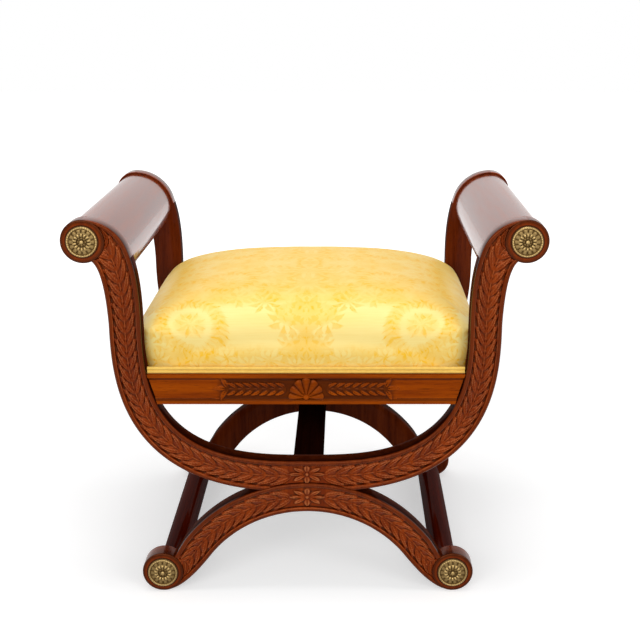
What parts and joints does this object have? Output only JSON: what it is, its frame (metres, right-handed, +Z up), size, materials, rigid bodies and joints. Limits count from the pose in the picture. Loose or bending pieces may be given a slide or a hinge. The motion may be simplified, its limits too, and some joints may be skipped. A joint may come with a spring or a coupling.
{
  "type": "x frame stool",
  "caption": "Upholstered X-frame stool: a U of scrolled arms on an arched base, twice, joined by arm rolls, seat rails, a stretcher and foot rails under a crowned cushion.",
  "frame": {"origin": "on the floor, in the middle of the stool's width and depth", "axes": "+X along the width, from one scroll arm to the other, -Y towards the front, +Z up"},
  "size_m": [0.7, 0.4536, 0.586],
  "materials": {
    "mahogany": "polished red-brown mahogany under clear lacquer",
    "rail_mahogany": "polished orange-brown mahogany under clear lacquer",
    "raw_timber": "unfinished beech",
    "brass": "cast brass, antiqued in the hollows",
    "steel": "plain zinc-plated steel",
    "damask": "yellow silk damask",
    "dust_cloth": "black woven dust cloth"
  },
  "bodies": {
    "root": {"front_arm_left": "mahogany", "front_arm_right": "mahogany", "front_leg_left": "mahogany", "front_leg_right": "mahogany", "rear_arm_left": "mahogany", "rear_arm_right": "mahogany", "rear_leg_left": "mahogany", "rear_leg_right": "mahogany", "centre_stretcher": "mahogany", "left_foot_rail": "mahogany", "right_foot_rail": "mahogany", "left_arm_roll": "mahogany", "right_arm_roll": "mahogany", "front_seat_rail": "rail_mahogany", "rear_seat_rail": "rail_mahogany", "left_seat_rail": "rail_mahogany", "right_seat_rail": "rail_mahogany", "front_rail_shell": "rail_mahogany", "rear_rail_shell": "rail_mahogany", "front_scroll_rosette_left": "brass", "front_scroll_rosette_right": "brass", "front_foot_rosette_left": "brass", "front_foot_rosette_right": "brass", "rear_scroll_rosette_left": "brass", "rear_scroll_rosette_right": "brass", "rear_foot_rosette_left": "brass", "rear_foot_rosette_right": "brass", "front_crossing_dowel_left": "raw_timber", "front_crossing_dowel_right": "raw_timber", "front_arm_dowel": "raw_timber", "front_leg_dowel": "raw_timber", "rear_crossing_dowel_left": "raw_timber", "rear_crossing_dowel_right": "raw_timber", "rear_arm_dowel": "raw_timber", "rear_leg_dowel": "raw_timber", "front_left_corner_block": "raw_timber", "front_right_corner_block": "raw_timber", "rear_left_corner_block": "raw_timber", "rear_right_corner_block": "raw_timber", "front_left_side_screw": "steel", "front_left_rail_screw": "steel", "front_right_side_screw": "steel", "front_right_rail_screw": "steel", "rear_left_side_screw": "steel", "rear_left_rail_screw": "steel", "rear_right_side_screw": "steel", "rear_right_rail_screw": "steel", "seat_board": "raw_timber", "dust_cover": "dust_cloth", "seat_cushion": "damask", "front_welt": "damask", "rear_welt": "damask", "left_welt": "damask", "right_welt": "damask"}
  },
  "joints": []
}
